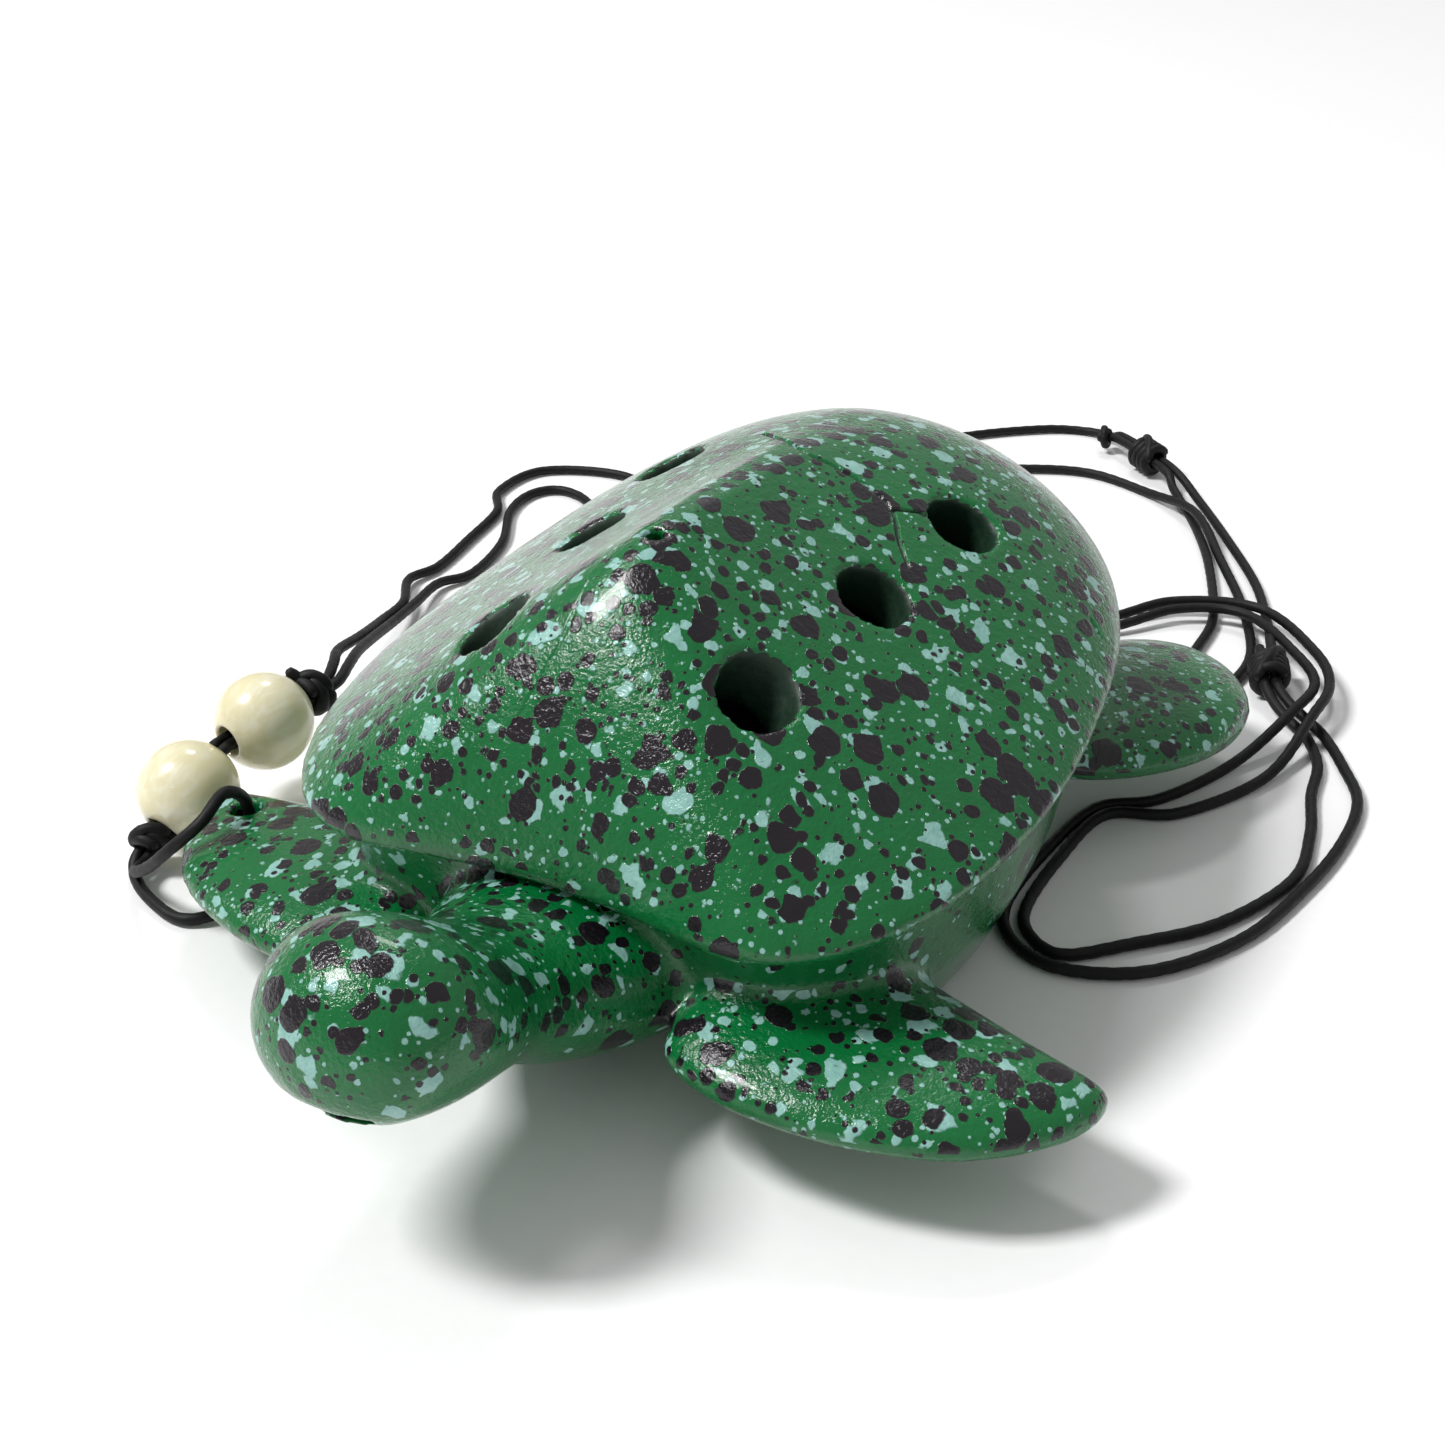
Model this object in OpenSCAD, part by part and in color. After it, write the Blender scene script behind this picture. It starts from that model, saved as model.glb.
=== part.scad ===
// Turtle ocarina on a neck cord with two beads. Millimetres, +Z up, head towards -Y.
// The origin is under the middle of the turtle, on the surface that its belly rests on.

/* [Carapace] */
// Width of the carapace across its rim
shell_w = 66; // [60:1:70]
// Length of the carapace from the neck notch to the tail point
shell_l = 78.5; // [74:0.5:82]
// Height of the ridge at its front end
ridge_front_z = 42.6; // [40:0.2:44]
// Height of the ridge at its middle
ridge_mid_z = 42.5; // [40:0.1:44]
// Height of the ridge at its rear end
ridge_rear_z = 40; // [38:0.5:42]
// Height of the rim above the belly at the origin
rim_z = 22.2; // [20:0.2:23]
// Rise of the rim plane per millimetre towards the tail
rim_slope = 0.1; // [0.06:0.01:0.12]
// Depth of the carapace's lip below the rim
lip_h = 1.2; // [1:0.1:2]
// Thickness of wood between the ridge and the sound chamber
crown_wall = 6; // [4.5:0.5:7]

/* [Holes] */
// Diameter of the six finger holes
finger_d = 6.8; // [6:0.1:7.5]
// Diameter of the small hole on the ridge
ridge_hole_d = 1.8; // [1.4:0.1:2.4]
// Tilt of the finger holes away from upright
finger_tilt = 30; // [25:1:35]
// Width of the windway and of its window
windway_w = 8; // [7:0.5:9]
// Height of the windway
windway_h = 1.4; // [1.2:0.1:1.8]
// Diameter of the cord hole in the right front flipper
cord_hole_d = 3; // [2.8:0.1:3.2]

/* [Cord and beads] */
// Diameter of the waxed cord
cord_d = 1.2; // [1:0.1:1.2]
// Diameter of the two beads
bead_d = 10; // [9.6:0.1:10.2]
// Diameter of the hole through a bead
bead_bore_d = 3.2; // [3:0.1:3.4]

/* [Hidden] */

// ---- curves ----
function spline_point(a, b, c, d, t) =
    0.5 * (2 * b + (c - a) * t + (2 * a - 5 * b + 4 * c - d) * t * t + (3 * b - a - 3 * c + d) * t * t * t);
// closed smooth curve through points, sub steps per span
function closed_curve(p, sub) = let (n = len(p))
    [for (i = [0:n - 1], k = [0:sub - 1])
        spline_point(p[(i + n - 1) % n], p[i], p[(i + 1) % n], p[(i + 2) % n], k / sub)];
// open smooth curve through points, sub steps per span
function open_curve(p, sub) = let (n = len(p))
    concat([for (i = [0:n - 2], k = [0:sub - 1])
        spline_point(p[max(i - 1, 0)], p[i], p[i + 1], p[min(i + 2, n - 1)], k / sub)], [p[n - 1]]);
// half an outline, from one point on the Y axis to the other, mirrored into a whole one
function mirrored(half) =
    concat(half, [for (i = [len(half) - 2:-1:1]) [-half[i][0], half[i][1]]]);
function ease(u) = 0.5 - 0.5 * cos(180 * u);
// how far round a closed ring of n points each one is, 0 at the first and 1 half way
function along(j, n) = j <= n / 2 ? j / (n / 2) : (n - j) / (n / 2);

// ---- solids from rings of points ----
// side faces between rings of n points each
function ring_sides(n, m) = [for (i = [0:m - 2], j = [0:n - 1])
    let (a = i * n + j, b = i * n + (j + 1) % n)
    each [[a, b, b + n], [a, b + n, a + n]]];
// a closing strip across one ring, joining each point to its mirror point
function ring_strip(n, base, flip) = [for (j = [0:n / 2 - 1])
    let (a = j, b = j + 1, c = n - j - 1, d = (n - j) % n)
    each concat(
        b == c ? [] : [flip ? [base + a, base + b, base + c] : [base + c, base + b, base + a]],
        a == d ? [] : [flip ? [base + a, base + c, base + d] : [base + d, base + c, base + a]])];
module ring_solid(rings) {
    n = len(rings[0]);
    m = len(rings);
    polyhedron(points = [for (r = rings) each r],
        faces = concat(ring_sides(n, m), ring_strip(n, 0, false), ring_strip(n, (m - 1) * n, true)),
        convexity = 6);
}
function middle(r) = [for (i = [0:2]) [for (p = r) p[i]] * [for (p = r) 1] / len(r)];
// the same with flat ends that are notched, so each is closed by a fan round its middle
module flat_ended_solid(rings) {
    n = len(rings[0]);
    m = len(rings);
    last = (m - 1) * n;
    polyhedron(points = concat([for (r = rings) each r], [middle(rings[0]), middle(rings[m - 1])]),
        faces = concat(ring_sides(n, m), [for (j = [0:n - 1]) [m * n, (j + 1) % n, j]],
            [for (j = [0:n - 1]) [m * n + 1, last + j, last + (j + 1) % n]]),
        convexity = 6);
}

// ---- carapace and body outline ----
RIM_HALF = [[0, -29], [8, -29.5], [15, -30.5], [21.5, -30], [27, -25.5], [31, -17], [33, -4.5],
            [32.2, 9.5], [29, 24.5], [22.5, 37], [12, 45.5], [0, 48]];
RIM_MID_Y = 9.5;
rim = [for (p = closed_curve(mirrored(RIM_HALF), 3))
    [p[0] * shell_w / 66, RIM_MID_Y + (p[1] - RIM_MID_Y) * shell_l / 78.5]];
RIM_N = len(rim);
RIDGE_Y = [-10.5, 25.5];
BODY_Y = 8;
function plane_z(y) = rim_z + rim_slope * y;
function ridge_y(u) = RIDGE_Y[0] + (RIDGE_Y[1] - RIDGE_Y[0]) * ease(u);
function ridge_z(u) = let (s = ease(u))
    ridge_front_z * (1 - s) * (1 - 2 * s) + 4 * ridge_mid_z * s * (1 - s) + ridge_rear_z * s * (2 * s - 1);
// roundness of the dome at the sides, the front and the rear
function round_p(u) = let (w = pow(sin(180 * u), 2)) 1.12 * w + (u < 0.5 ? 1.5 : 1.8) * (1 - w);
function round_q(u) = let (w = pow(sin(180 * u), 2)) 1.08 * w + (u < 0.5 ? 1.3 : 1.7) * (1 - w);
// a ring of the dome: s is 0 on the ridge and 1 at the rim, wall lowers it and shrink narrows it
function dome_ring(s, wall = 0, shrink = 1) = [for (j = [0:RIM_N - 1])
    let (u = along(j, RIM_N), c = [0, ridge_y(u)], p = c + (rim[j] - c) * s * shrink,
         z0 = plane_z(c[1] + (rim[j][1] - c[1]) * shrink) - (wall > 0 ? lip_h : 0),
         z1 = ridge_z(u) - wall)
    [p[0], p[1], z0 + (z1 - z0) * pow(max(1 - pow(s, round_p(u)), 0), 1 / round_q(u))]];
// a level ring of the body, scaled about its middle
function body_ring(s, z) = [for (p = rim) [p[0] * s, BODY_Y + (p[1] - BODY_Y) * s, z]];
// the seam plane, met at a share of the rim
function seam_ring(s) = [for (p = rim)
    let (q = [p[0] * s, BODY_Y + (p[1] - BODY_Y) * s]) [q[0], q[1], plane_z(q[1]) - lip_h]];

CHAMBER_S = 0.8;
FINGERS = [[12.6, -15.6, -14], [13.2, 2.2, 0], [13.8, 18.5, 6]];
RIDGE_HOLE_Y = -8.6;

module carapace_solid() {
    outer = [for (s = [0.04, 0.12, 0.24, 0.36, 0.48, 0.6, 0.7, 0.8, 0.88, 0.95, 0.985]) dome_ring(s)];
    inner = [for (s = [0.97, 0.9, 0.75, 0.6, 0.45, 0.3, 0.15, 0.05]) dome_ring(s, crown_wall, CHAMBER_S)];
    ring_solid(concat(outer, [dome_ring(1), seam_ring(0.99), seam_ring(CHAMBER_S)], inner));
}
module finger_holes() {
    for (f = FINGERS, side = [1, -1])
        translate([side * f[0], f[1], 33]) rotate([f[2], side * finger_tilt, 0])
            cylinder(d = finger_d, h = 30, center = true, $fn = 48);
}
module carapace() {
    color("seagreen") difference() {
        carapace_solid();
        finger_holes();
        translate([0, RIDGE_HOLE_Y, 36]) rotate([18, 0, 0])
            cylinder(d = ridge_hole_d, h = 20, center = true, $fn = 32);
    }
}

// ---- lower body, head and flippers ----
BELLY_S = 0.7;
FLOOR_Z = 6;
module body_block() {
    flat_ended_solid([seam_ring(0.935), body_ring(0.87, 11), body_ring(0.8, 4), body_ring(0.755, 1.3),
        body_ring(BELLY_S, 0)]);
}
// the chamber, from its floor up through the seam plane
module chamber_void() {
    flat_ended_solid([body_ring(0.9, 32), body_ring(0.7, 11), body_ring(0.6, FLOOR_Z)]);
}
// stations of the neck and head: y, height of the middle, half width, half height
HEAD = [[-20, 10, 13.5, 7.8], [-28, 10.4, 11.6, 7.4], [-35, 12.2, 9, 6.6], [-40, 15, 8.2, 6.2],
        [-44, 17.2, 9, 6.9], [-49, 19, 9.6, 7.6], [-53, 19.2, 8.7, 6.8], [-55.8, 18.8, 6.8, 5.2],
        [-57.3, 18.4, 4, 3]];
HEAD_N = 28;
module head_solid() {
    st = open_curve(HEAD, 2);
    ring_solid([for (s = st) [for (j = [0:HEAD_N - 1]) let (a = 360 * j / HEAD_N)
        [s[2] * sin(a), s[0], s[1] + s[3] * cos(a)]]]);
}
// a flipper: outline from the root round the leading edge to the tip and back along the rear edge
FRONT = [[14, -22], [12.5, -31], [18, -34.6], [26, -35.2], [33, -33.9], [38, -31.8], [42, -28.4],
         [45, -24], [46, -19.6], [43, -18.4], [38, -17], [32, -15], [25, -13], [19, -14.5]];
REAR = [[17, 36], [18, 27], [23.5, 24.8], [29.5, 28], [34.5, 34.5], [36.6, 42], [35.6, 49.5],
        [31, 55.5], [25, 57.3], [19, 53.5], [16, 44]];
function flipper_ring(o, root, tip, s, k, h0, h1) = let (n = len(o)) [for (j = [0:n - 1])
    let (u = along(j, n), c = root + (tip - root) * u)
    [c[0] + (o[j][0] - c[0]) * s, c[1] + (o[j][1] - c[1]) * s, c[2] + k * (h0 + (h1 - h0) * u)]];
module flipper(points, root, tip, top, under) {
    o = closed_curve(points, 2);
    up = [for (s = [0.1, 0.4, 0.65, 0.83, 0.94])
        flipper_ring(o, root, tip, s, sqrt(1 - s * s), top[0], top[1])];
    down = [for (s = [0.94, 0.83, 0.65, 0.4, 0.1])
        flipper_ring(o, root, tip, s, -sqrt(1 - s * s), under[0], under[1])];
    ring_solid(concat(up, [flipper_ring(o, root, tip, 1, 0, 0, 0)], down));
}
module front_flipper() {
    flipper(FRONT, [17, -23, 8.8], [42, -22.5, 7.8], [4.6, 2.4], [3.6, 2]);
}
module rear_flipper() {
    flipper(REAR, [18, 38, 9.4], [34, 44, 8], [4.6, 2.6], [3.8, 2]);
}
FLIPPER_PIVOT = [22, -22];
RIGHT_SWEEP = 9;
RIGHT_DROP = 1;
module right_front_flipper() {
    mirror([1, 0, 0]) translate([FLIPPER_PIVOT[0], FLIPPER_PIVOT[1], 0]) rotate([0, 0, RIGHT_SWEEP])
        translate([-FLIPPER_PIVOT[0], -FLIPPER_PIVOT[1], -RIGHT_DROP]) front_flipper();
}
// windway: from the mouth down to the window, sloping with the neck
MOUTH = [-58, 14.4];
WINDOW = [-20, 6];
windway_a = atan2(MOUTH[1] - WINDOW[1], WINDOW[0] - MOUTH[0]);
windway_len = norm(WINDOW - MOUTH);
module windway_box(z0, h, len0, len1) {
    translate([0, MOUTH[0], MOUTH[1]]) rotate([-windway_a, 0, 0])
        translate([-windway_w / 2, len0, z0]) cube([windway_w, len1 - len0, h]);
}
module window_cut() {
    translate([-windway_w / 2, 0, 0]) rotate([90, 0, 90]) linear_extrude(windway_w)
        polygon([[-20, -1], [-20, 8], [-14.5, 8], [-14.5, 6], [-7, -1]]);
}
CORD_HOLE = [-39.5, -19.4];
PLUG_START = 6;
PLUG_DEPTH = 14;
module body_blank() {
    difference() {
        union() {
            body_block();
            head_solid();
            front_flipper();
            right_front_flipper();
            rear_flipper();
            mirror([1, 0, 0]) rear_flipper();
        }
        chamber_void();
    }
}
module lower_body() {
    color("seagreen") difference() {
        body_blank();
        windway_box(0, windway_h, -3, windway_len);
        windway_box(-PLUG_DEPTH, PLUG_DEPTH, PLUG_START, windway_len);
        window_cut();
        translate([CORD_HOLE[0], CORD_HOLE[1], 8]) cylinder(d = cord_hole_d, h = 12, center = true, $fn = 32);
    }
}
module windway_plug() {
    color("darkgreen") intersection() {
        windway_box(-PLUG_DEPTH, PLUG_DEPTH, PLUG_START, windway_len);
        union() {
            body_block();
            head_solid();
        }
    }
}

// ---- beads and knots ----
// centre of each bead and the direction of the cord through it
LOW_BEAD = [-50.7, -15.5, 6.2];
LOW_AXIS = unit([0.05, 0.85, 0.52]);
UP_BEAD = [-50, -4.6, 9];
UP_AXIS = unit([0.22, 0.97, 0.12]);
KNOT_L = 2.8;
KNOT_D = 4.6;
KNOT_BORE = 2.8;
KNOT_GAP = 0.1;
bead_flat = sqrt(pow(bead_d / 2, 2) - pow(bead_bore_d / 2 + 0.3, 2));
knot_offset = bead_flat + KNOT_L / 2 + KNOT_GAP;
LOW_KNOT = LOW_BEAD - LOW_AXIS * knot_offset;
UP_KNOT = UP_BEAD + UP_AXIS * knot_offset;
function unit(v) = v / norm(v);
// turn a child's +Z along v
module aim(v) {
    rotate([0, acos(v[2] / norm(v)), atan2(v[1], v[0])]) children();
}
module bead() {
    color("ivory") difference() {
        intersection() {
            sphere(d = bead_d, $fn = 64);
            cube([bead_d + 1, bead_d + 1, 2 * bead_flat], center = true);
        }
        cylinder(d = bead_bore_d, h = bead_d + 2, center = true, $fn = 32);
    }
}
module knot(d, l, bore) {
    r = 0.9;
    color("black") rotate_extrude($fn = 36) polygon(concat(
        [[bore / 2, -l / 2], [d / 2 - r, -l / 2]],
        [for (a = [-60:30:60]) [d / 2 - r + r * cos(a), (a < 0 ? -1 : 1) * (l / 2 - r) + r * sin(a)]],
        [[d / 2 - r, l / 2], [bore / 2, l / 2]]));
}
module bead_lower() translate(LOW_BEAD) aim(LOW_AXIS) bead();
module bead_upper() translate(UP_BEAD) aim(UP_AXIS) bead();
module lower_stopper_knot() translate(LOW_KNOT) aim(LOW_AXIS) knot(KNOT_D, KNOT_L, KNOT_BORE);
module upper_stopper_knot() translate(UP_KNOT) aim(UP_AXIS) knot(KNOT_D + 0.6, KNOT_L, KNOT_BORE);

// ---- cords ----
// a plain tube of 8 sides along a list of points
CORD_N = 8;
function tangent(p, i) = unit(p[min(i + 1, len(p) - 1)] - p[max(i - 1, 0)]);
// a side direction carried along the route without twist
function carried(p, i, v) = let (t = tangent(p, i)) unit(v - t * (v * t));
function sides(p, i = 0, v = [0.1, 0.05, 1], acc = []) =
    i == len(p) ? acc : let (w = carried(p, i, v)) sides(p, i + 1, w, concat(acc, [w]));
module tube(p, d) {
    w = sides(p);
    // the polygon's area equals the round cord's, near enough
    r = d / 2 / cos(180 / CORD_N / 2);
    rings = [for (i = [0:len(p) - 1]) let (v = cross(tangent(p, i), w[i]))
        [for (k = [0:CORD_N - 1]) let (a = 360 * k / CORD_N) p[i] + r * (w[i] * cos(a) - v * sin(a))]];
    ring_solid(rings);
}
STRAND_GAP = 1.34;
// the strands of a doubled stretch lie side by side, each moved sideways from the middle
function beside(p, side, gap) = [for (i = [0:len(p) - 1]) let (t = tangent(p, i))
    p[i] + unit(cross(t, [0, 0, 1])) * side * gap / 2];
// from inside the upper knot, through both beads, to the far side of the lower knot
DOUBLED = [UP_BEAD + UP_AXIS * 6.3, UP_BEAD + UP_AXIS * 4.5, UP_BEAD, UP_BEAD - UP_AXIS * 4.5,
           LOW_BEAD + LOW_AXIS * 4.5, LOW_BEAD, LOW_BEAD - LOW_AXIS * 4.5, LOW_BEAD - LOW_AXIS * 8];
// the loop from the lower knot along the surface, up through the flipper's hole and back over it
FLIPPER_LOOP = [[-50.6, -24, 1], [-47, -26, 0.7], [-42, -27.2, 0.7], [-39.2, -24.6, 1.1],
                [-39.4, -20.8, 2.8], [-39.5, -19.4, 6], [-39.5, -19.5, 10.2], [-39.2, -22.4, 12.6],
                [-39, -26, 11.4], [-41.4, -28, 8.8], [-45.2, -27.2, 5.4], [-49.2, -25.2, 2.6]];
PENDANT_ROUTE = concat(beside(DOUBLED, 1, STRAND_GAP), FLIPPER_LOOP,
    [for (i = [len(DOUBLED) - 1:-1:0]) beside(DOUBLED, -1, STRAND_GAP)[i]]);
module pendant_cord() color("black") tube(PENDANT_ROUTE, cord_d);

// middle of the neck cord's two strands and the gap between them, from the upper knot, behind
// the shell, round the fold beside it and back to where the strands part
NECK = [[-48.6, 1.7, 9.8, 1.34], [-48.4, 4.4, 10, 1.34], [-50.2, 8.2, 9.9, 1.7], [-53, 12.8, 8.8, 2.2],
    [-56.6, 20.4, 6.4, 1.6], [-61, 29.5, 3.5, 1.5], [-63.9, 37.5, 2, 1.5], [-67.4, 45, 1.1, 4],
    [-66.6, 50.6, 0.7, 5], [-68.6, 60, 0.7, 4.6], [-72.2, 69.4, 0.7, 1.8], [-74.8, 75.6, 0.7, 4.4],
    [-73.4, 82, 0.7, 7.4], [-66, 84, 0.7, 9.4], [-56, 79, 0.7, 9], [-34, 72, 0.7, 4],
    [-8, 70.5, 0.7, 2], [9, 74, 0.9, 2.6], [17, 82.4, 1.9, 2.2], [26, 84.4, 2.3, 2.6],
    [34.6, 75.6, 2.8, 2.4], [38.7, 68, 3, 1.6], [38.7, 59.5, 3, 2.2], [36.6, 49, 0.9, 4],
    [31.6, 38, 0.7, 3.2], [25.8, 33.4, 0.7, 1.5], [24.6, 23, 0.7, 1.7], [25, 13, 0.7, 1.9],
    [27.4, 8.2, 0.7, 1.9], [32, 6.4, 0.7, 2.2], [38, 10.4, 0.7, 4.4], [44, 18.8, 0.7, 3],
    [47.2, 30, 0.7, 1.5], [47.2, 39.4, 0.7, 3.2], [45.8, 47.6, 0.7, 4.6], [43.6, 54.2, 0.7, 2.6],
    [40.6, 59.6, 0.7, 2]];
function strand(side) = [for (i = [0:len(NECK) - 1])
    let (a = NECK[max(i - 1, 0)], b = NECK[min(i + 1, len(NECK) - 1)], t = unit([b[0] - a[0], b[1] - a[1]]),
         g = side * NECK[i][3] / 2)
    [NECK[i][0] + t[1] * g, NECK[i][1] - t[0] * g, NECK[i][2]]];
// the straight stretches of the long strand that the sliding knots run on
NEAR_RUN = [[34.3, 66, 2.55], [30.4, 76.6, 2.55]];
FAR_RUN = [[2.6, 124.2, 2.55], [-7.2, 132.6, 2.55]];
// a point beside a straight stretch, a share u of the way along it, gap to its left
function left_of(run, u, gap) = let (t = unit(run[1] - run[0]))
    run[0] + (run[1] - run[0]) * u + [-t[1], t[0], 0] * gap;
SHORT_ROUTE = concat(strand(-1), [[37.4, 61.2, 1], [34.9, 63.2, 1.8], left_of(NEAR_RUN, 0, STRAND_GAP),
    left_of(NEAR_RUN, 0.3, STRAND_GAP), left_of(NEAR_RUN, 0.86, STRAND_GAP)]);
LONG_ROUTE = concat(strand(1), [[39, 62.4, 1], [36.5, 63.8, 1.8]],
    [NEAR_RUN[0], left_of(NEAR_RUN, 0.3, 0), NEAR_RUN[1]],
    [[28.4, 83.6, 0.8], [23.3, 95.4, 0.7], [16, 107.4, 0.7], [8.6, 118.4, 0.8]], FAR_RUN,
    [[-10.2, 135.6, 1.3], [-14.5, 137.4, 0.7], [-20.5, 135.2, 0.7], [-29, 127.4, 0.7], [-36, 117, 0.7],
     [-36.4, 108, 0.7], [-31, 105.4, 0.7], [-24.6, 112.8, 0.7], [-16.5, 119, 0.7], [-8, 121.6, 0.7],
     [1.6, 118.2, 0.8], [8.6, 112.6, 2.2], [12.6, 107.6, 2.2], [16.6, 101.6, 0.8], [23.4, 89, 0.7],
     [28.2, 77, 0.7], [28.8, 69, 0.7], [27.3, 65.4, 0.7], [24.2, 64.9, 0.7], [22.4, 68, 0.7],
     [22.4, 75, 0.7], [21.4, 84, 0.7], [16.2, 98.6, 0.7], [10.7, 110, 0.7], [4.4, 119.8, 1.3]],
    [left_of(FAR_RUN, 0, STRAND_GAP), left_of(FAR_RUN, 1, STRAND_GAP), [-11.4, 132.6, 1.8]]);
module neck_cord_short() color("black") tube(SHORT_ROUTE, cord_d);
module neck_cord_long() color("black") tube(LONG_ROUTE, cord_d);

// each sliding knot goes round the long strand and the end of the cord that it is tied with
SLIDING_L = 5.6;
SLIDING_D = 5;
SLIDING_BORE = 3;
module sliding_knot(run, u)
    translate(left_of(run, u, STRAND_GAP / 2)) aim(run[1] - run[0]) knot(SLIDING_D, SLIDING_L, SLIDING_BORE);
module sliding_knot_near() sliding_knot(NEAR_RUN, 0.3);
module sliding_knot_far() sliding_knot(FAR_RUN, 0.43);
END_KNOT_BORE = 1.34;
module tail_end_knot() {
    b = LONG_ROUTE[len(LONG_ROUTE) - 1];
    a = LONG_ROUTE[len(LONG_ROUTE) - 2];
    translate(b - unit(b - a) * 1.4) aim(b - a) knot(3.2, 2.2, END_KNOT_BORE);
}

carapace();
lower_body();
windway_plug();
pendant_cord();
lower_stopper_knot();
bead_lower();
bead_upper();
upper_stopper_knot();
neck_cord_short();
neck_cord_long();
sliding_knot_near();
sliding_knot_far();
tail_end_knot();
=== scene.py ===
"""Looks of the turtle ocarina: carved and speckled wood, waxed cord, tied knots and beads.
Lengths are written in millimetres and turned into metres by MM."""
import math

import bmesh
import bpy
import numpy as np
from mathutils import Matrix, Vector
from mathutils.kdtree import KDTree


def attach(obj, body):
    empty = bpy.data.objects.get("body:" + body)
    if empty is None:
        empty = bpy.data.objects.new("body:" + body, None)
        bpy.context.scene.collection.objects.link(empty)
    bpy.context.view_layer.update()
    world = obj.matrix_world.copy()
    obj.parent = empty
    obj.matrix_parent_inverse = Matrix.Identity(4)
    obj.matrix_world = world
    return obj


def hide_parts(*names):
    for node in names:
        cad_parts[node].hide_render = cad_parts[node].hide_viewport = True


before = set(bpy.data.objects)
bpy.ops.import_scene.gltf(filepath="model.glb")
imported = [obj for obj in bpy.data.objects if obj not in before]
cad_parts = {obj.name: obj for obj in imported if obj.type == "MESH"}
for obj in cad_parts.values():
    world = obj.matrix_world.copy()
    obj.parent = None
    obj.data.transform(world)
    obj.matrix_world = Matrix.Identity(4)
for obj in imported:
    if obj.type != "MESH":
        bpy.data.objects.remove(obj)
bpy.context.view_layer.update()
MM = 0.001
scene = bpy.context.scene


# ---- camera and light ----
CAMERA_PLACE = (82.4, -145.7, 109.2)
CAMERA_DOWN, CAMERA_TURN = 28.12, 29.31


def add_camera():
    """The photograph's camera, looking CAMERA_DOWN degrees below level."""
    data = bpy.data.cameras.new("camera")
    data.lens = 52.4
    data.sensor_width = 36
    data.clip_start = 0.01
    cam = bpy.data.objects.new("camera", data)
    cam.location = Vector(CAMERA_PLACE) * MM
    cam.rotation_euler = (math.radians(90 - CAMERA_DOWN), 0, math.radians(CAMERA_TURN))
    scene.collection.objects.link(cam)
    scene.camera = cam


def add_area(name, place, aim, size, power):
    """A soft rectangular light at place, facing aim, both in millimetres."""
    data = bpy.data.lights.new(name, "AREA")
    data.shape = "RECTANGLE"
    data.size, data.size_y = size[0] * MM, size[1] * MM
    data.energy = power
    lamp = bpy.data.objects.new(name, data)
    lamp.location = Vector(place) * MM
    lamp.rotation_euler = (Vector(aim) - Vector(place)).to_track_quat("-Z", "Y").to_euler()
    scene.collection.objects.link(lamp)


def add_world(strength):
    """Even white light from all round."""
    world = bpy.data.worlds.new("studio")
    scene.world = world
    world.use_nodes = True
    back = world.node_tree.nodes["Background"]
    back.inputs["Color"].default_value = (1, 1, 1, 1)
    back.inputs["Strength"].default_value = strength


add_camera()


# ---- node helpers ----
def new_material(name):
    """A material with its node tree and its main shader."""
    mat = bpy.data.materials.new(name)
    mat.use_nodes = True
    tree = mat.node_tree
    return mat, tree, tree.nodes["Principled BSDF"]


def add_node(tree, kind, inputs=(), **settings):
    """A node with its settings, and its inputs given as values or as sockets to link from."""
    node = tree.nodes.new(kind)
    for key, value in settings.items():
        setattr(node, key, value)
    for key, value in dict(inputs).items():
        if isinstance(value, bpy.types.NodeSocket):
            tree.links.new(value, node.inputs[key])
        else:
            node.inputs[key].default_value = value
    return node


def maths(tree, operation, a, b=0.0, c=0.0):
    """The result of one sum on values or sockets."""
    return add_node(tree, "ShaderNodeMath", {0: a, 1: b, 2: c}, operation=operation).outputs[0]


def step_up(tree, value, low, high):
    """0 below low, 1 above high and smooth between."""
    node = add_node(tree, "ShaderNodeMapRange", {"Value": value, "From Min": low, "From Max": high},
                    interpolation_type="SMOOTHSTEP")
    return node.outputs["Result"]


def blend_colors(tree, share, first, second):
    """The first color at share 0 and the second at 1, each a triple or a socket."""
    node = add_node(tree, "ShaderNodeMix", {0: share}, data_type="RGBA")
    for socket, value in ((node.inputs[6], first), (node.inputs[7], second)):
        if isinstance(value, bpy.types.NodeSocket):
            tree.links.new(value, socket)
        else:
            socket.default_value = (*value, 1)
    return node.outputs[2]


def mm_coordinates(tree):
    """Object coordinates in millimetres."""
    place = add_node(tree, "ShaderNodeTexCoord").outputs["Object"]
    return add_node(tree, "ShaderNodeVectorMath", {0: place, 3: 1 / MM}, operation="SCALE").outputs[0]


def noise_at(tree, where, scale, detail=2.0, rough=0.5, distortion=0.0):
    """Noise with scale features to the millimetre."""
    return add_node(tree, "ShaderNodeTexNoise", {
        "Vector": where, "Scale": scale, "Detail": detail, "Roughness": rough, "Distortion": distortion})


def moved(tree, where, offset):
    """Coordinates shifted by an offset."""
    return add_node(tree, "ShaderNodeVectorMath", {0: where, 1: offset}, operation="ADD").outputs[0]


def wobbled(tree, where, scale, amount, offset):
    """Coordinates pushed about by noise, so that spots lose their regular outlines."""
    push = noise_at(tree, moved(tree, where, offset), scale, 2.0).outputs["Color"]
    centred = moved(tree, push, (-0.5, -0.5, -0.5))
    scaled = add_node(tree, "ShaderNodeVectorMath", {0: centred, 3: amount}, operation="SCALE").outputs[0]
    return add_node(tree, "ShaderNodeVectorMath", {0: where, 1: scaled}, operation="ADD").outputs[0]


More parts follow.
